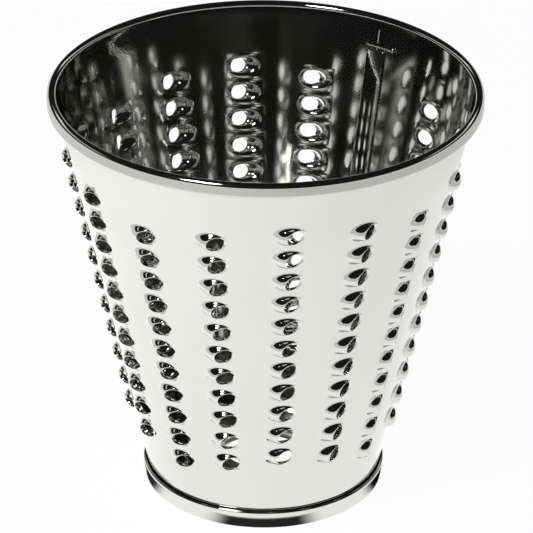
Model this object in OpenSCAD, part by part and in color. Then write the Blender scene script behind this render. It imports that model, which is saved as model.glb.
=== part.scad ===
// Conical shredding drum for a rotary grater: one sheet of polished stainless steel rolled into a
// cone, punched with hooded teeth, lock-seamed up one side, with its wide edge rolled into a bead
// and its narrow edge seamed into a base cap that carries a riveted drive plate.
// Origin: centre of the ring that the drum stands on. +Z: up the drum's axis, towards its mouth.

/* [Drum] */
// Overall height, from the standing ring to the top of the rolled rim
drum_h = 105.2; // [104:0.1:108]
// Outer radius of the wall where it would meet the standing surface
foot_wall_r = 28; // [27.8:0.1:28.2]
// Outer radius of the wall at the height of the rim's widest circle
mouth_wall_r = 50.6; // [50.4:0.1:50.8]
// Thickness of the stainless sheet
sheet_t = 0.5; // [0.4:0.05:0.6]

/* [Rolled rim] */
// Width of the rolled bead across its section
rim_w = 2.4; // [2.2:0.1:2.6]
// Height of the rolled bead, from its lower edge to its crown
rim_h = 3.6; // [3.4:0.1:4.2]

/* [Teeth] */
// Places for tooth columns round the drum; the side seam takes one of them
column_places = 16; // [16]
// Teeth in one column
teeth_per_column = 11; // [8:1:11]
// Rise from one tooth to the next, along the axis
tooth_pitch = 6.7; // [6.5:0.1:6.8]
// Height of the top tooth's centre in a column with no stagger
top_tooth_z = 87.5; // [86:0.5:89]
// Angle of the first column, from the front (-Y) towards +X
first_column_angle = -60.3; // [-66:0.1:-58]
// Length of the raised hood, along the drum's circumference
hood_len = 3.9; // [3.6:0.1:4.2]
// Width of the hood's mouth, up the slope of the wall
hood_w = 4.4; // [4.2:0.1:4.6]
// Height of the cutting lip above the wall
lip_proud = 1.65; // [1.5:0.05:1.8]
// Radius, to its corners, of the six-sided hole under the lip
tooth_hole_r = 2.1; // [1.8:0.1:2.1]

/* [Side seam] */
// Angle of the lock seam, from the front (-Y) towards +X
seam_angle = 145; // [143:0.5:146]
// Width of the folded lock seam
seam_w = 5.3; // [4.5:0.1:6]
// How far the folded layers stand inside the wall
seam_t = 1; // [0.8:0.1:1.2]

/* [Base and drive] */
// Height of the standing ring that clasps the wall's lower edge
foot_h = 4.8; // [4.4:0.1:5.2]
// Outer radius of the standing ring at its upper edge
foot_top_r = 30; // [29.9:0.1:30.4]
// Outer radius of the standing ring at its lower edge
foot_low_r = 29.4; // [29.2:0.1:29.6]
// Radius of the round opening for the machine's shaft
drive_bore_r = 10; // [9:0.5:10]
// Width of the two notches that take the shaft's cross pin
notch_w = 5; // [4:0.5:5]
// Depth of each notch past the opening
notch_depth = 3; // [2:0.5:3]
// Thickness of the riveted drive plate
drive_plate_t = 2.5; // [2:0.5:3]
// Radius of the drive plate
drive_plate_r = 19; // [18.5:0.5:20]
// Rivets that hold the drive plate to the base
rivet_count = 4; // [4:2:6]
// Radius of a rivet's shank
rivet_r = 1.5; // [1.2:0.1:1.6]

/* [Hidden] */
$fn = 64;

STEEL = "gainsboro";
SATIN_STEEL = "silver";

widest_z = drum_h - rim_w / 2;
wall_slope = (mouth_wall_r - foot_wall_r) / widest_z;
lean = atan(wall_slope);
wall_across = sheet_t / cos(lean);

column_step = 360 / column_places;
seam_place = round((seam_angle - first_column_angle) / column_step);
// Columns are staggered over four neighbours, so that no two cut the same track.
STAGGER = [0.1, -3.3, -0.7, 1.8];

wall_low_z = 0.9;
wall_into_rim = 0.4;
wall_top_z = drum_h - rim_h + wall_into_rim;
cut_past = 1;

hood_sheet = 0.4;
hood_root = 0.8;
hood_crest = 0.4;
mouth_past = 0.2;
lip_x = -1.3;
hole_x = 0.5;
hole_start = 0.1;
hole_depth = 2.5;

rim_in_r = mouth_wall_r - wall_across;
rim_out_r = rim_in_r + rim_w;
rim_low_z = drum_h - rim_h;
rim_fold_r = 0.6;
rim_gap = 0.35;

seam_clear = 0.4;
seam_low_z = foot_h + seam_clear;
seam_top_z = 98.5;

groove_floor_z = wall_low_z;
panel_z = 3;
panel_t = 0.6;
countersink_r = 26.9;
foot_flat_r = 28.9;
foot_chamfer = 0.5;
foot_shoulder = 0.35;
countersink_edge = 0.4;

plate_z = panel_z + panel_t;
shaft_clear = 1.2;
rivet_circle_r = 16;
rivet_head_r = 2.5;
rivet_head_t = 0.8;

// Outer radius of the wall at a height
function wall_r(z) = foot_wall_r + wall_slope * z;
// Inner radius of the wall at a height
function wall_in_r(z) = wall_r(z) - wall_across;

// Solid cone that follows the wall, inset by a distance, between two heights
module wall_cone(inset, z0, z1) {
    translate([0, 0, z0])
        cylinder(h = z1 - z0, r1 = wall_r(z0) - inset, r2 = wall_r(z1) - inset);
}

// Places children on the wall: X along the circumference, Y outwards, Z up the slope
module on_wall(angle, z) {
    rotate([0, 0, angle]) translate([0, -wall_r(z), z]) rotate([lean, 0, 0]) children();
}

// Every tooth's place, except in the column that the seam takes
module at_teeth() {
    for (place = [0 : column_places - 1])
        if (place != seam_place)
            for (i = [0 : teeth_per_column - 1])
                on_wall(
                    first_column_angle + place * column_step,
                    top_tooth_z + STAGGER[place % 4] - i * tooth_pitch
                ) children();
}

// Raised hood: a ramp from the wall up to the cutting lip, bevelled along both sides and
// tapered in plan. With an inset it is the hollow under the sheet, open past the lip.
module hood(inset) {
    half_w = hood_w / 2 - inset;
    proud = lip_proud - inset;
    tail_x = lip_x - hood_len + 2 * inset;
    end_x = lip_x + (inset > 0 ? mouth_past : 0);
    crest_w = hood_crest * half_w;
    shoulder = hood_crest * proud;
    intersection() {
        translate([tail_x, 0, 0]) rotate([90, 0, 90]) linear_extrude(end_x - tail_x)
            polygon([
                [hood_root, -hood_w], [-shoulder, -half_w], [-proud, -crest_w],
                [-proud, crest_w], [-shoulder, half_w], [hood_root, hood_w]
            ]);
        linear_extrude(hood_w, center = true)
            polygon([
                [tail_x, hood_root], [tail_x, 0], [lip_x, -proud], [end_x, -proud], [end_x, hood_root]
            ]);
        rotate([90, 0, 0]) linear_extrude(2 * (lip_proud + hood_root), center = true)
            polygon([
                [tail_x, -crest_w], [end_x, -half_w], [end_x, half_w], [tail_x, crest_w]
            ]);
    }
}

module drum_wall() {
    color(STEEL) difference() {
        union() {
            wall_cone(0, wall_low_z, wall_top_z);
            at_teeth() hood(0);
        }
        wall_cone(wall_across, wall_low_z - cut_past, wall_top_z + cut_past);
        at_teeth() hood(hood_sheet);
        at_teeth() translate([hole_x, -hole_start, 0]) rotate([-90, 0, 0])
            cylinder(h = hole_depth, r = tooth_hole_r, $fn = 6);
    }
}

// The sheet turns out over the top and down, then tucks back towards the wall
module rolled_rim() {
    crown_r = rim_w / 2;
    mid_r = rim_in_r + crown_r;
    color(STEEL) rotate_extrude($fn = 128) {
        difference() {
            union() {
                translate([mid_r, widest_z]) circle(r = crown_r);
                translate([mid_r, rim_low_z + rim_fold_r])
                    square([crown_r, widest_z - rim_low_z - rim_fold_r]);
                translate([rim_out_r - rim_fold_r, rim_low_z + rim_fold_r]) circle(r = rim_fold_r);
                translate([wall_r(rim_low_z) + rim_gap, rim_low_z])
                    square([rim_out_r - rim_fold_r - wall_r(rim_low_z) - rim_gap, sheet_t]);
            }
            translate([mid_r, widest_z]) circle(r = crown_r - sheet_t);
            translate([rim_in_r - cut_past, rim_low_z + sheet_t])
                square([rim_w - sheet_t + cut_past, widest_z - rim_low_z - sheet_t]);
        }
        polygon([
            [wall_in_r(wall_top_z), wall_top_z], [wall_r(wall_top_z), wall_top_z],
            [rim_in_r + sheet_t, widest_z], [rim_in_r, widest_z]
        ]);
    }
}

// Folded layers of the lock seam, on the inside of the wall
module side_seam() {
    color(STEEL) intersection() {
        difference() {
            wall_cone(wall_across, seam_low_z, seam_top_z);
            wall_cone(wall_across + seam_t, seam_low_z - cut_past, seam_top_z + cut_past);
        }
        rotate([0, 0, seam_angle]) translate([-seam_w / 2, -drum_h, 0]) cube([seam_w, drum_h, drum_h]);
    }
}

// Pressed cap: the recessed panel turns down into the standing ring and clasps the wall
module base_cap() {
    color(STEEL) difference() {
        rotate_extrude($fn = 128) polygon([
            [drive_bore_r + shaft_clear + notch_depth, panel_z],
            [countersink_r - panel_t, panel_z],
            [countersink_r, countersink_edge],
            [countersink_r + countersink_edge, 0],
            [foot_flat_r, 0],
            [foot_low_r, foot_chamfer],
            [foot_top_r, foot_h - foot_chamfer],
            [foot_top_r - foot_shoulder, foot_h],
            [wall_r(foot_h), foot_h],
            [wall_r(groove_floor_z), groove_floor_z],
            [wall_in_r(groove_floor_z), groove_floor_z],
            [wall_in_r(plate_z), plate_z],
            [drive_bore_r + shaft_clear + notch_depth, plate_z]
        ]);
        at_rivets() translate([0, 0, panel_z - cut_past])
            cylinder(h = panel_t + 2 * cut_past, r = rivet_r);
    }
}

// Every rivet's place on its circle, midway between the notches
module at_rivets() {
    for (i = [0 : rivet_count - 1])
        rotate([0, 0, (i + 0.5) * 360 / rivet_count]) translate([rivet_circle_r, 0, 0]) children();
}

// Thick plate whose notched opening locks on the shaft's cross pin
module drive_plate() {
    reach = drive_bore_r + notch_depth;
    color(SATIN_STEEL) translate([0, 0, plate_z]) difference() {
        cylinder(h = drive_plate_t, r = drive_plate_r, $fn = 96);
        translate([0, 0, -cut_past])
            cylinder(h = drive_plate_t + 2 * cut_past, r = drive_bore_r, $fn = 96);
        translate([-reach, -notch_w / 2, -cut_past])
            cube([2 * reach, notch_w, drive_plate_t + 2 * cut_past]);
        at_rivets() translate([0, 0, -cut_past])
            cylinder(h = drive_plate_t + 2 * cut_past, r = rivet_r);
    }
}

// Shank with a low head on each side, set through the plate and the base panel
module drive_rivets() {
    color(SATIN_STEEL) at_rivets() translate([0, 0, panel_z]) {
        translate([0, 0, -rivet_head_t]) cylinder(h = rivet_head_t, r = rivet_head_r);
        cylinder(h = panel_t + drive_plate_t, r = rivet_r);
        translate([0, 0, panel_t + drive_plate_t]) cylinder(h = rivet_head_t, r = rivet_head_r);
    }
}

drum_wall();
rolled_rim();
side_seam();
base_cap();
drive_plate();
drive_rivets();
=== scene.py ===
"""Looks of a conical shredding drum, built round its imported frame.

The drum is one sheet of polished stainless steel, punched with hooded teeth while it is flat,
rolled into a cone, locked along one side, curled over at its mouth and clasped at its narrow
end by a base cap with a riveted drive plate. Every piece is made in metres in the frame's own
coordinates: the drum's axis is +Z, the standing ring touches z = 0 and the front is -Y.
"""

import logging
import math
from contextlib import contextmanager
from dataclasses import dataclass, field
from enum import Enum
from typing import Any, Callable, Iterator, NamedTuple

import bmesh
import bpy
import numpy as np
from mathutils import Euler, Matrix, Vector


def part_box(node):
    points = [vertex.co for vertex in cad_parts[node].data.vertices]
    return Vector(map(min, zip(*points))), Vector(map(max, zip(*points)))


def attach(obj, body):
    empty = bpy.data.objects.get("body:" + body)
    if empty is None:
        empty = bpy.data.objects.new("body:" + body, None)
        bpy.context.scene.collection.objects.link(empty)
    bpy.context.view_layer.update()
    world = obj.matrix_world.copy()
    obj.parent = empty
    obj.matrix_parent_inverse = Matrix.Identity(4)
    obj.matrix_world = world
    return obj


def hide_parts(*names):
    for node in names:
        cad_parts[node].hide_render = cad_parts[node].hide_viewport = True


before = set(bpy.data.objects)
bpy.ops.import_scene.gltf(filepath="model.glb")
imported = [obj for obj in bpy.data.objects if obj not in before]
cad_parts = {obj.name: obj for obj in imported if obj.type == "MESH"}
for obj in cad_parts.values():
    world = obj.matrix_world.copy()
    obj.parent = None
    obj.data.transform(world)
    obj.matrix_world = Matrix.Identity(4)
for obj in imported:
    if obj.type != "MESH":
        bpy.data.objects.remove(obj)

log = logging.getLogger("drum")
Piece = bpy.types.Object
Socket = bpy.types.NodeSocket
Tree = bpy.types.NodeTree
Vert = bmesh.types.BMVert
BODY = "root"
TOUCH_MM = 0.01  # a vertex closer than this to a line lies on it
WELD_MM = 0.001  # vertices closer than this are one vertex
DRAWN_EDGE = 40.0  # degrees: a bend in drawn sheet that is sharper than this shows as an edge
CUT_EDGE = 30.0  # degrees: the same for pressed, folded and turned pieces


def mm(value: float) -> float:
    """Turns millimetres into metres."""
    return value * 0.001


def in_mm(value: float) -> float:
    """Turns metres into millimetres."""
    return value * 1000


class Slot(Enum):
    """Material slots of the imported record."""

    POLISHED = "polished_steel"
    SATIN = "satin_steel"


class Point(NamedTuple):
    """A point of a turned profile: distance from the axis and height, in millimetres."""

    r: float
    z: float


# ---------------- helpers for modelling


def make_active(piece: Piece) -> None:
    """Selects one piece alone and makes it active.

    Args:
        piece: the object.
    """
    for other in list(bpy.context.selected_objects):
        other.select_set(False)
    piece.select_set(True)
    bpy.context.view_layer.objects.active = piece


def named(name: str) -> Piece:
    """Names the piece that an operator has just added, and its mesh.

    Args:
        name: the new name.

    Returns:
        The piece.
    """
    piece = bpy.context.object
    piece.name = name
    piece.data.name = name
    return piece


@contextmanager
def editing(piece: Piece, mode: str = "VERT", select: str = "DESELECT") -> Iterator[None]:
    """Opens a piece in edit mode, and closes it again.

    Args:
        piece: the mesh object to edit.
        mode: what is selected, "VERT", "EDGE" or "FACE".
        select: "SELECT" to start with everything selected, or "DESELECT" with nothing.
    """
    make_active(piece)
    bpy.ops.object.mode_set(mode="EDIT")
    bpy.ops.mesh.select_mode(type=mode)
    bpy.ops.mesh.select_all(action=select)
    yield
    bpy.ops.object.mode_set(mode="OBJECT")


def select_where(piece: Piece, test: Callable[[Vert], bool]) -> None:
    """Selects the vertices of a piece in edit mode that pass a test.

    Args:
        piece: the mesh object, which is in edit mode.
        test: says whether a vertex is wanted.
    """
    mesh = bmesh.from_edit_mesh(piece.data)
    wanted = [v for v in mesh.verts if test(v)]
    for element in (*mesh.verts, *mesh.edges, *mesh.faces):
        element.select = False
    for vert in wanted:
        vert.select = True
    mesh.select_flush(True)
    bmesh.update_edit_mesh(piece.data)


def apply_modifier(piece: Piece, kind: str, **settings: Any) -> None:
    """Adds a modifier to a piece and applies it.

    Args:
        piece: the piece to change.
        kind: the modifier's type, such as "SOLIDIFY".
        **settings: values for the modifier's own properties.
    """
    make_active(piece)
    modifier = piece.modifiers.new(kind.title(), kind)
    for key, value in settings.items():
        setattr(modifier, key, value)
    bpy.ops.object.modifier_apply(modifier=modifier.name)


def bevel(piece: Piece, width: float, steps: int) -> None:
    """Rounds a piece's sharp edges.

    Args:
        piece: the piece to change.
        width: the bevel's width in millimetres.
        steps: faces across it.
    """
    limit = math.radians(DRAWN_EDGE)
    apply_modifier(
        piece, "BEVEL", width=mm(width), segments=steps, limit_method="ANGLE", angle_limit=limit
    )


def copy_of(piece: Piece, name: str) -> Piece:
    """Copies a piece with a mesh of its own.

    Args:
        piece: the piece to copy.
        name: the copy's name.

    Returns:
        The copy.
    """
    twin = piece.copy()
    twin.data = piece.data.copy()
    twin.name = name
    twin.data.name = name
    bpy.context.scene.collection.objects.link(twin)
    return twin


def join(pieces: list[Piece], name: str) -> Piece:
    """Joins several pieces into the first of them and names the result.

    Args:
        pieces: the pieces, which become one.
        name: the joined piece's name.

    Returns:
        The joined piece.
    """
    make_active(pieces[0])
    for piece in pieces:
        piece.select_set(True)
    bpy.ops.object.join()
    return named(name)


def smooth(piece: Piece, angle: float) -> None:
    """Shades a piece smooth, except across its sharp edges."""
    make_active(piece)
    bpy.ops.object.shade_smooth_by_angle(angle=math.radians(angle))


def settle(piece: Piece) -> None:
    """Puts a piece's place into its mesh, so that its object sits at the origin."""
    make_active(piece)
    bpy.ops.object.transform_apply(location=True, rotation=True, scale=True)


def face_outwards(piece: Piece) -> None:
    """Merges doubled vertices and turns every face of a closed shell outwards.

    Args:
        piece: the closed shell.
    """
    with editing(piece, select="SELECT"):
        bpy.ops.mesh.remove_doubles(threshold=mm(WELD_MM))
        bpy.ops.mesh.normals_make_consistent(inside=False)


def arc(centre: Point, radius: float, start: float, end: float, steps: int) -> list[Point]:
    """Points of a circular arc. Its angles are in degrees: 0 is outwards and 90 is up."""
    angles = [math.radians(start + (end - start) * i / steps) for i in range(steps + 1)]
    return [Point(centre.r + radius * math.cos(a), centre.z + radius * math.sin(a)) for a in angles]


def turn(name: str, profile: list[Point], segments: int) -> Piece:
    """Turns a closed profile about the axis, one extruded ring after another.

    Args:
        name: the new piece's name.
        profile: points of the section, in order; the last joins the first.
        segments: how many faces go round the axis.

    Returns:
        The closed ring, with its faces outwards.
    """
    first = profile[0]
    bpy.ops.mesh.primitive_circle_add(
        vertices=segments, radius=mm(first.r), fill_type="NOTHING", location=(0, 0, mm(first.z))
    )
    piece = named(name)
    settle(piece)
    with editing(piece, select="SELECT"):
        here = first
        for there in [*profile[1:], first]:
            bpy.ops.mesh.extrude_region_move(
                TRANSFORM_OT_translate={"value": (0, 0, mm(there.z - here.z))}
            )
            grow = there.r / here.r
            bpy.ops.transform.resize(value=(grow, grow, 1), center_override=(0, 0, mm(there.z)))
            here = there
    face_outwards(piece)
    return piece


# ---------------- finishes


def linear(hex_colour: str) -> tuple[float, float, float, float]:
    """Turns an sRGB hex colour into linear RGBA.

    Args:
        hex_colour: the colour, such as "#D6D6D3".

    Returns:
        Red, green, blue and alpha.
    """
    channels = [int(hex_colour.lstrip("#")[i : i + 2], 16) / 255 for i in (0, 2, 4)]
    red, green, blue = (c / 12.92 if c <= 0.04045 else ((c + 0.055) / 1.055) ** 2.4 for c in channels)
    return red, green, blue, 1.0


def add_node(
    tree: Tree,
    kind: str,
    inputs: dict[str | int, Any] | None = None,
    out: str | int = 0,
    **settings: Any,
) -> Socket | None:
    """Adds one node with its settings and links.

    Args:
        tree: the node tree.
        kind: the node's type name without "ShaderNode", such as "TexNoise".
        inputs: socket name or number to a value, or to another node's output socket.
        out: name or number of the output that is wanted.
        **settings: values for the node's own properties.

    Returns:
        That output of the new node, or None when the node has none.
    """
    node = tree.nodes.new("ShaderNode" + kind)
    for key, value in settings.items():
        setattr(node, key, value)
    for key, value in (inputs or {}).items():
        if isinstance(value, Socket):
            tree.links.new(value, node.inputs[key])
        else:
            node.inputs[key].default_value = value
    return node.outputs[out] if node.outputs else None


@dataclass(frozen=True)
class SteelFinish:
    """Stainless steel, rolled to sheet or plate and then polished.

    A buffed sheet is a mirror with a faint bloom: it shows its surroundings sharply, softened
    by polishing marks too fine to see one by one, and it bends them a little where the rolled
    sheet isn't quite flat.
    """

    name: str
    slot: Slot
    pale: str
    dull: str  # where the bloom is thick
    roughness: tuple[float, float]  # where the bloom is thin, and where it is thick
    mark_mm: float  # spacing of the marks; the grit's own, near 0.02, wouldn't show
    mark_stretch: float  # how many times longer up the axis than wide
    mark_depth_mm: float
    wave_mm: float  # spacing of the sheet's own waves
    wave_depth_mm: float
    bloom_mm: float = 22.0  # size of a patch of bloom
    bloom_span: tuple[float, float] = (0.3, 0.7)  # noise levels of the thinnest and thickest bloom

    def build(self) -> bpy.types.Material:
        """Builds the material's node tree.

        Returns:
            The material.
        """
        material = bpy.data.materials.new(self.name)
        material.use_nodes = True
        tree = material.node_tree
        tree.nodes.clear()
        place = add_node(tree, "TexCoord", out="Object")
        along = add_node(
            tree, "Mapping", {"Vector": place, "Scale": (1.0, 1.0, 1.0 / self.mark_stretch)}, "Vector"
        )
        noises = (  # where, size in mm, detail, roughness of the noise
            (along, self.mark_mm, 3.0, 0.6),
            (place, self.bloom_mm, 4.0, 0.55),
            (place, self.wave_mm, 1.0, 0.4),
        )
        marks, bloom, waves = (
            add_node(
                tree,
                "TexNoise",
                {"Vector": where, "Scale": 1.0 / mm(size), "Detail": detail, "Roughness": coarse},
                "Fac",
            )
            for where, size, detail, coarse in noises
        )
        (thin, thick), (low, high) = self.bloom_span, self.roughness
        rough = add_node(
            tree,
            "MapRange",
            {"Value": bloom, "From Min": thin, "From Max": thick, "To Min": low, "To Max": high},
        )
        colours = {"A": linear(self.pale), "B": linear(self.dull)}
        colour = add_node(tree, "Mix", {"Factor": bloom, **colours}, 2, data_type="RGBA")
        wave_bump = add_node(
            tree, "Bump", {"Height": waves, "Strength": 1.0, "Distance": mm(self.wave_depth_mm)}
        )
        mark_bump = add_node(
            tree,
            "Bump",
            {"Height": marks, "Distance": mm(self.mark_depth_mm), "Strength": 1.0, "Normal": wave_bump},
        )
        shader = add_node(
            tree,
            "BsdfPrincipled",
            {"Base Color": colour, "Metallic": 1.0, "Roughness": rough, "Normal": mark_bump},
        )
        add_node(tree, "OutputMaterial", {"Surface": shader})
        return material

    def dress(self, piece: Piece, material: bpy.types.Material) -> None:
        """Gives a piece this finish, and lets it ride on the drum.

        Args:
            piece: the piece to finish.
            material: this finish's material, as build() made it.
        """
        piece.data.materials.clear()
        piece.data.materials.append(material)
        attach(piece, BODY)


# Cold-rolled sheet, buffed to a mirror before it is punched: sharp reflections, faint bloom.
BUFFED_SHEET = SteelFinish(
    name="buffed_stainless_sheet",
    slot=Slot.POLISHED,
    pale="#D6D6D3",
    dull="#CECFCA",
    roughness=(0.05, 0.09),
    mark_mm=0.35,
    mark_stretch=9.0,
    mark_depth_mm=0.0015,
    wave_mm=9.0,
    wave_depth_mm=0.02,
)
# Thicker plate, ground and left satin: reflections are smeared into soft light and dark.
GROUND_PLATE = SteelFinish(
    name="ground_stainless_plate",
    slot=Slot.SATIN,
    pale="#D6D6D2",
    dull="#C4C4BF",
    roughness=(0.24, 0.34),
    mark_mm=0.3,
    mark_stretch=0.2,
    mark_depth_mm=0.006,
    wave_mm=6.0,
    wave_depth_mm=0.01,
)


# ---------------- the cone that the sheet follows


@dataclass(frozen=True)
class Cone:
    """The wall's outer surface, and the angles that go with it. Sizes are in millimetres."""

    foot_r: float = 28.0
    mouth_r: float = 50.6
    widest_z: float = 104.0
    sheet: float = 0.5

    @property
    def slope(self) -> float:
        """Growth of the radius for each millimetre of height."""
        return (self.mouth_r - self.foot_r) / self.widest_z

    @property
    def lean(self) -> float:
        """Angle between the wall and the axis, in radians."""
        return math.atan(self.slope)

    def radius(self, z: float) -> float:
        """Outer radius at a height."""
        return self.foot_r + self.slope * z

    def inner(self, z: float) -> float:
        """Inner radius at a height."""
        return self.radius(z) - self.sheet / math.cos(self.lean)

    def rolled(self, angle: np.ndarray, run: np.ndarray, rise: np.ndarray) -> np.ndarray:
        """Places points of the flat blank on the cone.

        Args:
            angle: turn from the front (-Y) towards +X, in radians.
            run: distance up the slope from the standing surface, in metres.
            rise: distance outwards from the wall's outer face, in metres.

        Returns:
            The points' coordinates, one row each.
        """
        height = run * math.cos(self.lean) - rise * math.sin(self.lean)
        reach = mm(self.foot_r) + run * math.sin(self.lean) + rise * math.cos(self.lean)
        return np.stack([reach * np.sin(angle), -reach * np.cos(angle), height], axis=-1)


# ---------------- toothed wall


class Ring(NamedTuple):
    """One loop of a tooth, seen from above the flat sheet, in millimetres."""

    left: float  # behind the hood
    right: float  # in front of the mouth
    half_tall: float  # half the size up the slope
    hood: float  # height of the left end above the sheet
    dish: float  # depth of the right end below the sheet


@dataclass
class ToothTile:
    """One tooth in its patch of flat sheet: a raised hood, an oblique mouth and a shallow dish.

    X runs along the drum's circumference, the way the mouth faces, Y up the slope and Z outwards.
    """

    pitch: float
    left: float = -5.5
    right: float = 4.8
    points_round: int = 20
    cells_wide: int = 6
    cells_tall: int = 4
    rings: tuple[Ring, ...] = (
        Ring(-1.15, 2.65, 1.85, 1.78, 0.3),
        Ring(-1.5, 2.85, 1.98, 1.8, 0.22),
        Ring(-2.25, 3.2, 2.1, 1.55, 0.1),
        Ring(-3.1, 3.6, 2.22, 0.95, 0.03),
        Ring(-3.9, 3.9, 2.38, 0.36, 0.0),
        Ring(-4.6, 4.15, 2.55, 0.06, 0.0),
        Ring(-4.95, 4.35, 2.8, 0.0, 0.0),
    )

    def build(self) -> Piece:
        """Models the tile: a tilted loop extruded outwards ring by ring, then framed.

        Returns:
            The tile, with its patch centred on the tooth's own origin.
        """
        bpy.ops.mesh.primitive_circle_add(vertices=self.points_round, radius=mm(1), fill_type="NOTHING")
        tile = named("tooth_tile")
        with editing(tile, select="SELECT"):
            self._tilt_first_ring()
            for inner, outer in zip(self.rings, self.rings[1:]):
                self._extrude_ring(inner, outer)
            self._frame(tile)
        self._face_up(tile)
        return tile

    def _tilt_first_ring(self) -> None:
        """Stretches the starting circle and tips it, so that its left side is the lip."""
        edge = self.rings[0]
        half_wide = (edge.right - edge.left) / 2
        half_rise = (edge.hood + edge.dish) / 2
        slant = math.hypot(half_wide, half_rise)
        bpy.ops.transform.resize(value=(slant, edge.half_tall, 1), center_override=(0, 0, 0))
        bpy.ops.transform.rotate(
            value=-math.atan2(half_rise, half_wide), orient_axis="Y", center_override=(0, 0, 0)
        )
        middle = ((edge.left + edge.right) / 2, 0, (edge.hood - edge.dish) / 2)
        bpy.ops.transform.translate(value=tuple(mm(c) for c in middle))

    @staticmethod
    def _extrude_ring(inner: Ring, outer: Ring) -> None:
        """Extrudes the selected loop outwards to the next ring's size and height.

        Args:
            inner: the ring that is selected.
            outer: the ring to reach.
        """
        flat = 1e-4  # a level ring has no height to grow from
        grow = (
            (outer.right - outer.left) / (inner.right - inner.left),
            outer.half_tall / inner.half_tall,
            max(outer.hood + outer.dish, flat) / max(inner.hood + inner.dish, flat),
        )
        shift = (
            (outer.left + outer.right - inner.left - inner.right) / 2,
            0,
            (outer.hood - outer.dish - inner.hood + inner.dish) / 2,
        )
        middle = ((inner.left + inner.right) / 2, 0, (inner.hood - inner.dish) / 2)
        bpy.ops.mesh.extrude_region_move()
        bpy.ops.transform.resize(value=grow, center_override=tuple(mm(c) for c in middle))
        bpy.ops.transform.translate(value=tuple(mm(c) for c in shift))

    def _frame(self, tile: Piece) -> None:
        """Bridges the outermost ring to the border of a rectangular patch.

        Args:
            tile: the tooth, in edit mode.
        """
        bpy.ops.mesh.select_all(action="DESELECT")
        middle_x = mm((self.left + self.right) / 2)
        cells = {"x_subdivisions": self.cells_wide, "y_subdivisions": self.cells_tall}
        bpy.ops.mesh.primitive_grid_add(size=1, location=(middle_x, 0, 0), **cells)
        size = (mm(self.right - self.left), mm(self.pitch), 1)
        bpy.ops.transform.resize(value=size, center_override=(middle_x, 0, 0))
        bpy.ops.mesh.delete(type="ONLY_FACE")
        half = (size[0] / 2, size[1] / 2)
        near = mm(TOUCH_MM)

        def on_border(vert: Vert) -> bool:
            """Says whether a vertex lies on the patch's border."""
            x, y = abs(vert.co.x - middle_x), abs(vert.co.y)
            return abs(x - half[0]) < near or abs(y - half[1]) < near

        select_where(tile, lambda v: not v.link_faces and not on_border(v))
        bpy.ops.mesh.delete(type="VERT")
        bpy.ops.mesh.select_mode(type="EDGE")
        outer = self.rings[-1]
        middle = mm((outer.left + outer.right) / 2)
        wide, tall = mm((outer.right - outer.left) / 2), mm(outer.half_tall)
        slack = 0.01  # share of the ring's size

        def on_last_ring(vert: Vert) -> bool:
            """Says whether a vertex lies on the outermost ring."""
            reach = math.hypot((vert.co.x - middle) / wide, vert.co.y / tall)
            return len(vert.link_edges) == 3 and abs(reach - 1) < slack

        select_where(tile, lambda v: on_border(v) or on_last_ring(v))
        bpy.ops.mesh.bridge_edge_loops()

    @staticmethod
    def _face_up(tile: Piece) -> None:
        """Turns the sheet's faces to the outside of the drum.

        Args:
            tile: the finished tile.
        """
        with editing(tile, select="SELECT"):
            bpy.ops.mesh.normals_make_consistent(inside=False)
        if sum(face.normal.z for face in tile.data.polygons) < 0:
            tile.data.flip_normals()


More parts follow.
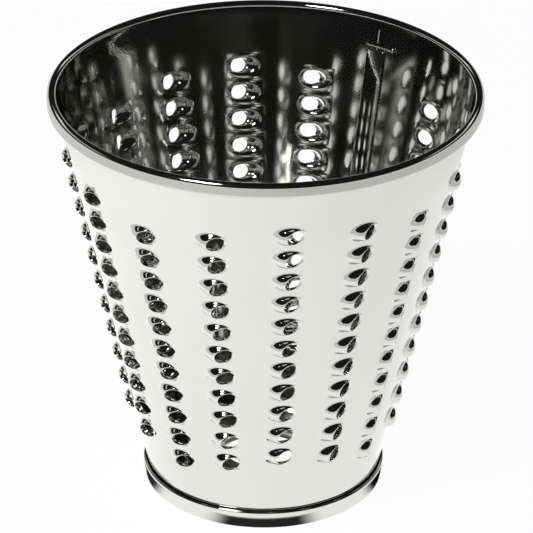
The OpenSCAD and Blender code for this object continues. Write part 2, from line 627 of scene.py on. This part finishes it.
@dataclass
class ToothedWall:
    """The sheet: columns of teeth, punched flat, staggered, joined, rolled and given thickness.

    Lengths are in millimetres and angles in degrees.
    """

    cone: Cone
    places: int = 16  # columns round the drum; the seam takes the place of one
    teeth: int = 11
    rise: float = 6.7
    top_z: float = 87.5  # the top tooth of a column with no stagger
    first_angle: float = -60.3
    seam_angle: float = 145.0
    seam_gap: float = 0.18
    fold: float = 0.7  # how far the sheet's two ends are bent inwards
    stagger: tuple[float, ...] = (0.1, -3.3, -0.7, 1.8)  # how much higher each column sits, in turn
    low_z: float = 0.9
    high_z: float = 102.0  # the sheet ends here, inside the rolled rim
    plain_rows: int = 4
    gap_cuts: int = 2
    flute: float = 0.05  # depth of the shallow flutes between columns
    fade: float = 0.7  # a smaller power brings the flutes to their depth sooner
    tile: ToothTile = field(init=False)

    def __post_init__(self) -> None:
        """Sizes the tile to the pitch up the slope."""
        self.tile = ToothTile(pitch=self.rise / math.cos(self.cone.lean))

    def columns(self) -> list[tuple[float, float]]:
        """Lays out the toothed columns, round from the seam.

        Returns:
            One pair of angle and stagger for each column.
        """
        step = 360 / self.places
        found = []
        for place in range(self.places):
            angle = self.first_angle + place * step
            if abs(angle - self.seam_angle) > step / 2:
                turned = angle if angle > self.seam_angle else angle + 360
                found.append((turned, self.stagger[place % len(self.stagger)]))
        return sorted(found)

    def run(self, z: float) -> float:
        """Turns a height into a distance up the slope."""
        return mm(z) / math.cos(self.cone.lean)

    def build(self) -> Piece:
        """Models the whole wall.

        Returns:
            The wall as a closed sheet, inside and out.
        """
        tile = self.tile.build()
        apply_modifier(
            tile,
            "ARRAY",
            count=self.teeth,
            use_relative_offset=False,
            use_constant_offset=True,
            constant_offset_displace=(0, mm(self.tile.pitch), 0),
            use_merge_vertices=True,
            merge_threshold=mm(TOUCH_MM),
        )
        columns = [
            self._column(tile, number, angle, shift)
            for number, (angle, shift) in enumerate(self.columns())
        ]
        bpy.data.objects.remove(tile)
        blank = join(columns, "toothed_wall")
        self._join_columns(blank, len(columns))
        self._close_to_seam(blank, len(columns))
        self._roll(blank)
        apply_modifier(
            blank,
            "SOLIDIFY",
            thickness=mm(self.cone.sheet),
            offset=-1.0,
            use_even_offset=True,
            use_quality_normals=True,
        )
        smooth(blank, DRAWN_EDGE)
        return blank

    def _column(self, strip: Piece, number: int, angle: float, shift: float) -> Piece:
        """Copies the strip of teeth to its place on the blank, with plain sheet above and below.

        Args:
            strip: the array of tiles, whose first tooth is at the origin.
            number: the column's place in the row of columns.
            angle: the column's angle in degrees.
            shift: the column's stagger in millimetres.

        Returns:
            The column, where X is the angle in radians times the reference radius.
        """
        column = copy_of(strip, f"column_{number}")
        bottom_tooth = self.run(self.top_z + shift - (self.teeth - 1) * self.rise)
        make_active(column)
        column.location = (0, bottom_tooth, 0)
        settle(column)
        half = mm(self.tile.pitch) / 2
        edges = {
            self.low_z: bottom_tooth - half,
            self.high_z: bottom_tooth - half + mm(self.tile.pitch) * self.teeth,
        }
        for goal, edge in edges.items():
            step = (self.run(goal) - edge) / self.plain_rows
            with editing(column):
                select_where(column, lambda v: abs(v.co.y - edge) < mm(TOUCH_MM))
                for _ in range(self.plain_rows):
                    bpy.ops.mesh.extrude_region_move(TRANSFORM_OT_translate={"value": (0, step, 0)})
        self._mark_sides(column, number)
        self._to_angle(column, angle)
        return column

    def _mark_sides(self, column: Piece, number: int) -> None:
        """Marks the column's two long edges, so that neighbours can be bridged.

        Args:
            column: the column, still upright on X.
            number: its place in the row of columns.
        """
        near = mm(TOUCH_MM)
        side = column.data.attributes.new("side", "INT", "POINT")
        for vert in column.data.vertices:
            if abs(vert.co.x - mm(self.tile.left)) < near:
                side.data[vert.index].value = 2 * number + 1
            elif abs(vert.co.x - mm(self.tile.right)) < near:
                side.data[vert.index].value = 2 * number + 2

    @property
    def reference(self) -> float:
        """Radius, in metres, that turns an angle into a distance on the flat blank."""
        return mm(self.cone.radius(self.high_z / 2))

    def _to_angle(self, column: Piece, angle: float) -> None:
        """Narrows the column's angle with height, so that a tooth keeps its size on the cone.

        Args:
            column: the column, still in true sizes.
            angle: its angle in degrees.
        """
        mesh = column.data
        place = np.empty(len(mesh.vertices) * 3)
        mesh.vertices.foreach_get("co", place)
        place = place.reshape(-1, 3)
        lowest = self.run(self.top_z + min(self.stagger) - (self.teeth - 0.5) * self.rise)
        run = np.maximum(place[:, 1], lowest)
        radius = mm(self.cone.foot_r) + run * math.sin(self.cone.lean)
        place[:, 0] = (math.radians(angle) + place[:, 0] / radius) * self.reference
        mesh.vertices.foreach_set("co", place.ravel())

    def _join_columns(self, blank: Piece, count: int) -> None:
        """Bridges each column's right side to its neighbour's left side.

        Args:
            blank: all the columns, joined.
            count: how many columns it has.
        """
        for number in range(count - 1):
            with editing(blank, "EDGE"):
                self._select_sides(blank, {2 * number + 2, 2 * number + 3})
                bpy.ops.mesh.bridge_edge_loops(number_cuts=self.gap_cuts, interpolation="LINEAR")

    @staticmethod
    def _select_sides(blank: Piece, sides: set[int]) -> None:
        """Selects the edges that run along the marked sides.

        Args:
            blank: the sheet, in edit mode.
            sides: the marks of the sides that are wanted.
        """
        mesh = bmesh.from_edit_mesh(blank.data)
        layer = mesh.verts.layers.int["side"]
        for edge in mesh.edges:
            marks = {vert[layer] for vert in edge.verts}
            edge.select = len(marks) == 1 and marks <= sides and len(edge.link_faces) == 1
        mesh.select_flush_mode()
        bmesh.update_edit_mesh(blank.data)

    def _close_to_seam(self, blank: Piece, count: int) -> None:
        """Carries the blank's two ends to the seam, and bends their edges inwards.

        Args:
            blank: the bridged sheet.
            count: how many columns it has.
        """
        gap = mm(self.seam_gap) / 2
        ends = (
            (1, math.radians(self.seam_angle) * self.reference + gap),
            (2 * count, math.radians(self.seam_angle + 360) * self.reference - gap),
        )
        steps = self.gap_cuts + 1
        for side, line in ends:
            with editing(blank, "EDGE"):
                self._select_sides(blank, {side})
                for left in range(steps, 0, -1):
                    bpy.ops.mesh.extrude_region_move()
                    share = (left - 1) / left
                    bpy.ops.transform.resize(value=(share, 1, 1), center_override=(line, 0, 0))
                inwards = (0, 0, -mm(self.fold))
                bpy.ops.mesh.extrude_region_move(TRANSFORM_OT_translate={"value": inwards})

    def _roll(self, blank: Piece) -> None:
        """Rolls the flat blank into the cone, gently fluted where the punches drew the sheet.

        Args:
            blank: the whole flat sheet, where X is the angle times the reference radius.
        """
        mesh = blank.data
        place = np.empty(len(mesh.vertices) * 3)
        mesh.vertices.foreach_get("co", place)
        x, run, rise = place.reshape(-1, 3).T
        angle = x / self.reference
        first = math.radians(self.first_angle)
        top, bottom = self.run(self.high_z), self.run(self.low_z)
        middle = np.clip((run - bottom) / (top - bottom), 0, 1)
        drawn = np.sin(np.pi * middle) ** self.fade
        rise = rise - mm(self.flute) * drawn * np.cos(self.places * (angle - first))
        mesh.vertices.foreach_set("co", self.cone.rolled(angle, run, rise).ravel())
        mesh.update()


# ---------------- rim, seam and base


@dataclass
class RolledRim:
    """The sheet's upper edge, curled outwards and down into a hollow bead, in millimetres."""

    cone: Cone
    top_z: float
    outer_r: float
    bead_h: float = 3.6
    overlap: float = 0.4  # how far the curl starts above the bead's lower edge
    gap: float = 0.3  # between the wall and the curl's free edge
    lip_r: float = 0.6
    lip_inner_r: float = 0.08  # the least radius of the lip's inner skin
    hem: float = 0.6  # thickness of the free edge, as a share of the sheet's
    segments: int = 160

    def profile(self) -> list[Point]:
        """Section of the curl: its outer skin, then its inner skin back again.

        Returns:
            The section's points, in order.
        """
        skin = self.cone.sheet
        start_z = self.top_z - self.bead_h + self.overlap
        crown_r = (self.outer_r - self.cone.inner(self.cone.widest_z)) / 2
        crown = Point(self.outer_r - crown_r, self.top_z - crown_r)
        low = self.top_z - self.bead_h
        corner = Point(self.outer_r - self.lip_r, low + self.lip_r)
        tuck = self.cone.radius(low) + self.gap
        return [
            Point(self.cone.inner(start_z), start_z),
            *arc(crown, crown_r, 180, 0, steps=12),
            Point(self.outer_r, (crown.z + corner.z) / 2),
            *arc(corner, self.lip_r, 0, -90, steps=4),
            Point(tuck, low),
            Point(tuck, low + skin * self.hem),
            *arc(corner, max(self.lip_r - skin, self.lip_inner_r), -90, 0, steps=2),
            *arc(crown, crown_r - skin, 0, 180, steps=8),
            Point(self.cone.radius(start_z), start_z),
        ]

    def build(self) -> Piece:
        """Turns the curl.

        Returns:
            The rim as a closed ring.
        """
        rim = turn("rolled_rim_bead", self.profile(), self.segments)
        smooth(rim, DRAWN_EDGE)
        return rim


@dataclass
class BaseCap:
    """Pressed cap: a recessed panel, a countersink and the folded ring that the drum stands on.

    Sizes are in millimetres. An inset is measured inwards from the radius it goes with.
    """

    cone: Cone
    ring_h: float
    panel_z: float = 3.0
    panel_t: float = 0.6
    opening_r: float = 14.2
    countersink_r: float = 26.9
    top_r: float = 30.0
    low_r: float = 29.4
    bend_r: float = 0.5  # from the panel down into the countersink
    bend_inset: float = 0.9
    draft: float = 0.3  # inset of the countersink's wall, just above its heel
    heel_z: float = 0.9
    heel_r: float = 0.6  # from the countersink out to the standing edge
    heel_out: float = 0.5
    edge_r: float = 0.5  # the standing edge's outer corner
    waist_z: float = 1.7
    waist_out: float = 0.16
    flare_z: float = 3.1
    flare_out: float = 0.4
    shoulder_r: float = 0.55  # the ring's upper corner
    tuck: float = 0.5  # how far below its top the ring meets the wall
    groove_z: float = 0.9  # lower end of the groove that holds the wall
    segments: int = 160

    def profile(self) -> list[Point]:
        """Section of the cap, from the panel's opening round the ring and back.

        Returns:
            The section's points, in order.
        """
        tuck_z = self.ring_h - self.tuck
        upper = self.panel_z + self.panel_t
        bend = Point(self.countersink_r - self.bend_inset, self.panel_z - self.bend_r)
        heel = Point(self.countersink_r + self.heel_out, self.heel_r)
        edge = Point(self.low_r - self.edge_r, self.edge_r)
        shoulder = Point(self.top_r - self.shoulder_r, self.ring_h - self.shoulder_r)
        return [
            Point(self.opening_r, self.panel_z),
            *arc(bend, self.bend_r, 90, 0, steps=3),
            Point(self.countersink_r - self.draft, self.heel_z),
            *arc(heel, self.heel_r, 180, 270, steps=4),
            *arc(edge, self.edge_r, -90, -10, steps=5),
            Point(self.low_r + self.waist_out, self.waist_z),
            Point(self.low_r + self.flare_out, self.flare_z),
            *arc(shoulder, self.shoulder_r, -10, 100, steps=6),
            Point(self.cone.radius(tuck_z), tuck_z),
            Point(self.cone.radius(self.groove_z), self.groove_z),
            Point(self.cone.inner(self.groove_z), self.groove_z),
            Point(self.cone.inner(upper), upper),
            Point(self.opening_r, upper),
        ]

    def build(self) -> Piece:
        """Turns the cap.

        Returns:
            The cap as a closed ring.
        """
        cap = turn("pressed_base_cap", self.profile(), self.segments)
        smooth(cap, CUT_EDGE)
        return cap


@dataclass
class LockSeam:
    """Folded layers of the lock seam inside the wall, ending in a wider fold near the mouth.

    Sizes are in millimetres and angles in degrees.
    """

    cone: Cone
    angle: float = 145.0
    low_z: float = 5.3
    high_z: float = 98.2
    width: float = 5.2
    stands: float = 0.85  # how far the band stands inside the wall
    edge: float = 0.7
    edge_share: float = 0.7  # a strip's edges take no more than this share of its thickness
    edge_steps: int = 3
    fold_wide: float = 8.6
    fold_tall: float = 1.3
    fold_stands: float = 0.35  # how far the fold stands above the band
    fold_turn: float = -1.6  # turn of the fold off the band's middle

    def build(self) -> Piece:
        """Models the band and its folded end as two strips, and joins them.

        Returns:
            The seam.
        """
        band = self._strip("lock_seam", self.low_z, self.high_z, self.width, self.stands)
        upper = self._strip(
            "seam_fold",
            self.high_z - self.fold_tall / 2,
            self.high_z + self.fold_tall / 2,
            self.fold_wide,
            self.stands + self.fold_stands,
        )
        upper.rotation_euler = (0, 0, math.radians(self.fold_turn))
        settle(upper)
        seam = join([band, upper], "lock_seam")
        smooth(seam, CUT_EDGE)
        return seam

    def _strip(self, name: str, low: float, high: float, width: float, stands: float) -> Piece:
        """Models one bevelled strip lying against the inside of the wall.

        Args:
            name: the new piece's name.
            low: height of its lower end.
            high: height of its upper end.
            width: its width round the wall.
            stands: how far it stands inside the wall.

        Returns:
            The strip, closed and bevelled.
        """
        bpy.ops.mesh.primitive_cube_add(size=1, location=(0, 0, 0))
        strip = named(name)
        with editing(strip, select="SELECT"):
            bpy.ops.transform.resize(value=(mm(width), mm(stands), mm(high - low)))
            bpy.ops.transform.translate(value=(0, 0, mm(high + low) / 2))
        bevel(strip, min(self.edge, stands * self.edge_share), self.edge_steps)
        middle_z = (low + high) / 2
        reach = self.cone.inner(middle_z) - stands / 2 / math.cos(self.cone.lean)
        with editing(strip, select="SELECT"):
            bpy.ops.transform.translate(value=(0, -mm(reach), 0))
            bpy.ops.transform.rotate(
                value=-self.cone.lean,
                orient_axis="X",
                center_override=(0, -mm(self.cone.inner(middle_z)), mm(middle_z)),
            )
        strip.rotation_euler = (0, 0, math.radians(self.angle))
        settle(strip)
        return strip


@dataclass
class DrivePlate:
    """Round plate whose notched opening takes the shaft and its cross pin, in millimetres."""

    low_z: float
    high_z: float
    radius: float = 19.0
    bore_r: float = 10.0
    notch_w: float = 5.0
    notch_depth: float = 3.0
    edge: float = 0.25
    edge_steps: int = 2
    segments: int = 128

    def build(self) -> Piece:
        """Cuts the opening out of a disc and breaks its edges.

        Returns:
            The plate.
        """
        depth = mm(self.high_z - self.low_z)
        through = depth * 3  # a cutter passes both faces
        middle = (0, 0, mm(self.low_z) + depth / 2)
        bpy.ops.mesh.primitive_cylinder_add(
            vertices=self.segments, radius=mm(self.radius), depth=depth, location=middle
        )
        plate = named("drive_plate_blank")
        bpy.ops.mesh.primitive_cylinder_add(
            vertices=self.segments, radius=mm(self.bore_r), depth=through, location=middle
        )
        bore = named("bore_cutter")
        bpy.ops.mesh.primitive_cube_add(size=1, location=middle)
        notch = named("notch_cutter")
        reach = 2 * mm(self.bore_r + self.notch_depth)
        notch.scale = (reach, mm(self.notch_w), through)
        settle(notch)
        for cutter in (bore, notch):
            apply_modifier(plate, "BOOLEAN", operation="DIFFERENCE", solver="EXACT", object=cutter)
            bpy.data.objects.remove(cutter)
        settle(plate)
        bevel(plate, self.edge, self.edge_steps)
        face_outwards(plate)
        smooth(plate, CUT_EDGE)
        return plate


@dataclass
class Rivets:
    """Domed rivets, copied round their circle, in millimetres."""

    low_z: float
    high_z: float
    count: int = 4
    circle_r: float = 16.0
    shank_r: float = 1.45
    head_r: float = 2.5
    head_t: float = 0.8
    bulge: float = 0.55  # share of a head's thickness that is domed
    # Points of the dome: share of the head's radius, depth below its top.
    crown: tuple[tuple[float, float], ...] = ((0.45, 0.05), (0.85, 0.3))
    tip_r: float = 0.02
    segments: int = 32

    def build(self) -> Piece:
        """Turns one rivet and copies it.

        Returns:
            All the rivets as one piece.
        """
        half = [  # from the top of a head to the start of the shank
            (self.tip_r, 0.0),
            *((self.head_r * share, depth) for share, depth in self.crown),
            (self.head_r, self.head_t * self.bulge),
            (self.head_r, self.head_t),
            (self.shank_r, self.head_t),
        ]
        lower = [Point(r, self.low_z + depth) for r, depth in half]
        upper = [Point(r, self.high_z - depth) for r, depth in reversed(half)]
        first = turn("rivet_0", lower + upper, self.segments)
        rivets = [first] + [copy_of(first, f"rivet_{i}") for i in range(1, self.count)]
        for number, rivet in enumerate(rivets):
            angle, reach = (number + 0.5) * math.tau / self.count, mm(self.circle_r)
            rivet.location = (reach * math.cos(angle), reach * math.sin(angle), 0)
            settle(rivet)
        joined = join(rivets, "domed_rivets")
        smooth(joined, CUT_EDGE)
        return joined


# ---------------- stage, light and camera


@dataclass(frozen=True)
class Studio:
    """A white table, a sky white low down and dark overhead, two strip lights and a soft lamp.

    Brightness 1 is white. A height in the sky is the upward part of a direction, from 0 to 1.
    """

    floor_r: float = 3.0  # the table's radius in metres
    floor_sides: int = 96
    paper: str = "#C8C8C6"
    glow: float = 1.13  # the table's glow towards the camera
    glow_share: float = 0.85  # how much of the table is glow, and not light that falls on it
    horizon: float = 0.02  # the sky is white up to here
    dusk: float = 0.17  # and as dark as the ceiling from here
    ceiling: float = 0.012
    back_low: float = 0.43  # the strips' lower edge
    back_high: float = 0.54  # their upper edge
    back_soft: float = 0.04  # how far either edge takes to fade
    back_behind: float = 0.2  # how far back a direction points where they are full
    back_aside: tuple[float, float] = (0.2, 0.35)  # how far aside they start and are full
    back_glow: float = 1.1
    painted_shade_in_mm: float = 31.9  # painted shade: the mirrored table is painted dark within this distance of the axis
    painted_shade_out_mm: float = 32.7  # and the painted shade clears from here
    streaks: tuple[float, float] = (0.28, 0.46)  # how diagonal, up to 0.5, the painted shade clears too, leaving painted pale streaks on the ring
    side_mm: float = 110.0  # painted light: the mirrored glow changes from this far left to this far right
    left_glow: float = 1.5
    right_glow: float = 1.24
    far_mm: tuple[float, float] = (135.0, 215.0)  # painted light: distances between which the mirrored glow falls off
    far_glow: float = 0.62  # what is left of it beyond them
    lamp_watts: float = 2.8
    lamp_size: float = 0.23  # metres
    lamp_place: tuple[float, float, float] = (-0.42, -0.46, 0.92)  # metres
    lamp_aim: tuple[float, float, float] = (0.0, 0.0, 0.05)

    def build(self) -> None:
        """Makes the world, the floor and the lamp."""
        self._world()
        self._floor()
        self._lamp()

    def _world(self) -> None:
        """White near the horizon and dark overhead; plain white to the camera."""
        world = bpy.data.worlds.new("studio")
        bpy.context.scene.world = world
        world.use_nodes = True
        tree = world.node_tree
        tree.nodes.clear()
        place = add_node(tree, "TexCoord", out="Generated")
        height = add_node(tree, "SeparateXYZ", {"Vector": place}, "Z")
        span = {"From Min": self.horizon, "From Max": self.dusk, "To Min": 1.0, "To Max": self.ceiling}
        strength = add_node(
            tree, "MapRange", {"Value": height, **span}, interpolation_type="SMOOTHSTEP"
        )
        strips = self._back_strips(tree, place, height)
        ray = add_node(tree, "LightPath", out="Is Camera Ray")
        for other in (strips, ray):
            strength = add_node(tree, "Math", {0: strength, 1: other}, operation="MAXIMUM")
        shader = add_node(tree, "Background", {"Color": (1, 1, 1, 1), "Strength": strength})
        add_node(tree, "OutputWorld", {"Surface": shader})

    def _back_strips(self, tree: Tree, place: Socket, height: Socket) -> Socket:
        """Two strip lights behind the drum, which draw the white lines along the rim's crown.

        Args:
            tree: the world's node tree.
            place: the direction looked in.
            height: that direction's upward part.

        Returns:
            The strips' brightness in them, and 0 elsewhere.
        """
        parts = add_node(tree, "SeparateXYZ", {"Vector": place}).node.outputs
        aside = add_node(tree, "Math", {0: parts["X"]}, operation="ABSOLUTE")
        edges = (
            (height, self.back_low, self.back_low + self.back_soft),
            (height, self.back_high, self.back_high - self.back_soft),
            (parts["Y"], 0.0, self.back_behind),
            (aside, *self.back_aside),
        )
        strip = self.back_glow
        for value, start, end in edges:
            part = add_node(
                tree,
                "MapRange",
                {"Value": value, "From Min": start, "From Max": end},
                interpolation_type="SMOOTHSTEP",
            )
            strip = add_node(tree, "Math", {0: strip, 1: part}, operation="MULTIPLY")
        return strip

    def _floor(self) -> None:
        """A plain white table top that glows just enough to stay white."""
        bpy.ops.mesh.primitive_circle_add(vertices=self.floor_sides, radius=self.floor_r, fill_type="NGON")
        floor = named("floor")
        # Matt white paper: it scatters light evenly and has no gloss.
        material = bpy.data.materials.new("white_paper")
        material.use_nodes = True
        tree = material.node_tree
        tree.nodes.clear()
        matt = add_node(tree, "BsdfDiffuse", {"Color": linear(self.paper)})
        ray = add_node(tree, "LightPath").node.outputs
        plain = add_node(
            tree, "Math", {0: ray["Is Camera Ray"], 1: ray["Is Transmission Ray"]}, operation="MAXIMUM"
        )
        mirrored = add_node(
            tree, "Math", {0: ray["Is Glossy Ray"], 1: self._mirrored_glow(tree)}, operation="MULTIPLY"
        )
        strength = add_node(
            tree, "Math", {0: plain, 1: self.glow, 2: mirrored}, operation="MULTIPLY_ADD"
        )
        glow = add_node(tree, "Emission", {"Color": (1, 1, 1, 1), "Strength": strength})
        both = add_node(tree, "MixShader", {"Fac": self.glow_share, 1: matt, 2: glow})
        add_node(tree, "OutputMaterial", {"Surface": both})
        floor.data.materials.append(material)

    def _mirrored_glow(self, tree: Tree) -> Socket:
        """The paper's glow as the steel mirrors it, with painted shade close round the foot.

        The shade is painted by distance from the axis, in place of the drum's shadow on the paper.
        It clears along the four diagonals, which leaves painted pale streaks on the standing ring.

        Args:
            tree: the paper's node tree.

        Returns:
            The glow: 0 in the painted shade, and outside it painted light that falls off to the right and
                with distance.
        """
        place = add_node(tree, "TexCoord", out="Object")
        reach = add_node(tree, "VectorMath", {0: place}, "Value", operation="LENGTH")
        parts = add_node(tree, "SeparateXYZ", {"Vector": place}).node.outputs
        across = add_node(tree, "Math", {0: parts["X"], 1: parts["Y"]}, operation="MULTIPLY")
        square = add_node(tree, "Math", {0: reach, 1: reach}, operation="MULTIPLY")
        slant = add_node(tree, "Math", {0: across, 1: square}, operation="DIVIDE")
        diagonal = add_node(tree, "Math", {0: slant}, operation="ABSOLUTE")
        # Painted shade round the foot, cleared on the diagonals as painted pale streaks, and a painted
        # fall-off of the glow with distance.
        clear, painted_streak, far = (
            add_node(
                tree,
                "MapRange",
                {"Value": value, "From Min": start, "From Max": end, "To Min": low, "To Max": high},
                interpolation_type="SMOOTHSTEP",
            )
            for value, start, end, low, high in (
                (reach, mm(self.painted_shade_in_mm), mm(self.painted_shade_out_mm), 0.0, 1.0),
                (diagonal, *self.streaks, 0.0, 1.0),
                (reach, *(mm(edge) for edge in self.far_mm), 1.0, self.far_glow),
            )
        )
        # Painted light: the mirrored glow is brighter at the left than at the right.
        width = {"From Min": -mm(self.side_mm), "From Max": mm(self.side_mm)}
        ends = {"To Min": self.left_glow, "To Max": self.right_glow}
        side = add_node(tree, "MapRange", {"Value": parts["X"], **width, **ends})
        outside_painted_shade = add_node(tree, "Math", {0: clear, 1: painted_streak}, operation="MAXIMUM")
        lit = add_node(tree, "Math", {0: side, 1: far}, operation="MULTIPLY")
        return add_node(tree, "Math", {0: outside_painted_shade, 1: lit}, operation="MULTIPLY")

    def _lamp(self) -> None:
        """One soft lamp, high in front of the drum and to the left."""
        lamp = bpy.data.lights.new("soft_lamp", "AREA")
        lamp.energy = self.lamp_watts
        lamp.size = self.lamp_size
        holder = bpy.data.objects.new("soft_lamp", lamp)
        bpy.context.scene.collection.objects.link(holder)
        holder.location = self.lamp_place
        aim = Vector(self.lamp_aim) - holder.location
        holder.rotation_euler = aim.to_track_quat("-Z", "Y").to_euler()


@dataclass(frozen=True)
class View:
    """The camera: a long lens, about 1.1 m away, looking down into the mouth."""

    place: tuple[float, float, float] = (-5.2, -945.5, 551.1)  # millimetres
    pitch: float = 0.4816  # radians below level
    yaw: float = 0.0060  # radians
    roll: float = 0.0065  # radians
    lens: float = 294.5  # millimetres
    film: float = 36.0  # the sensor's width in millimetres
    clip: tuple[float, float] = (0.05, 20.0)  # metres

    def build(self) -> None:
        """Makes the camera and sets it as the scene's."""
        data = bpy.data.cameras.new("camera")
        data.sensor_width = self.film
        data.lens = self.lens
        data.clip_start, data.clip_end = self.clip
        camera = bpy.data.objects.new("camera", data)
        bpy.context.scene.collection.objects.link(camera)
        turn_to = Euler((math.pi / 2 - self.pitch, 0, -self.yaw)).to_matrix()
        level = turn_to @ Matrix.Rotation(self.roll, 3, "Z")
        camera.matrix_world = level.to_4x4()
        camera.location = [mm(c) for c in self.place]
        bpy.context.scene.camera = camera


# ---------------- putting it together


def report(piece: Piece) -> None:
    """Logs a finished piece and its number of faces."""
    log.info("%s: %d faces", piece.name, len(piece.data.polygons))


def main() -> None:
    """Builds the studio and every piece, in order."""
    logging.basicConfig(level=logging.INFO, format="%(message)s")
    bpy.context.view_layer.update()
    scene = bpy.context.scene
    scene.view_settings.view_transform = "Standard"
    Studio().build()
    View().build()

    _, rim_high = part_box("rolled_rim")
    _, foot_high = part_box("base_cap")
    cone = Cone()
    sheet = BUFFED_SHEET.build()
    plate = GROUND_PLATE.build()

    wall = ToothedWall(cone).build()
    BUFFED_SHEET.dress(wall, sheet)
    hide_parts("drum_wall")
    report(wall)

    rim = RolledRim(cone, top_z=in_mm(rim_high.z), outer_r=in_mm(rim_high.x)).build()
    BUFFED_SHEET.dress(rim, sheet)
    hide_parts("rolled_rim")
    report(rim)

    cap = BaseCap(cone, ring_h=in_mm(foot_high.z)).build()
    BUFFED_SHEET.dress(cap, sheet)
    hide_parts("base_cap")
    report(cap)

    seam = LockSeam(cone).build()
    BUFFED_SHEET.dress(seam, sheet)
    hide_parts("side_seam")
    report(seam)

    plate_low, plate_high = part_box("drive_plate")
    disc = DrivePlate(in_mm(plate_low.z), in_mm(plate_high.z)).build()
    GROUND_PLATE.dress(disc, plate)
    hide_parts("drive_plate")
    report(disc)

    rivets_low, rivets_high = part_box("drive_rivets")
    rivets = Rivets(in_mm(rivets_low.z), in_mm(rivets_high.z)).build()
    GROUND_PLATE.dress(rivets, plate)
    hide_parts("drive_rivets")
    report(rivets)


if __name__ == "__main__":
    main()
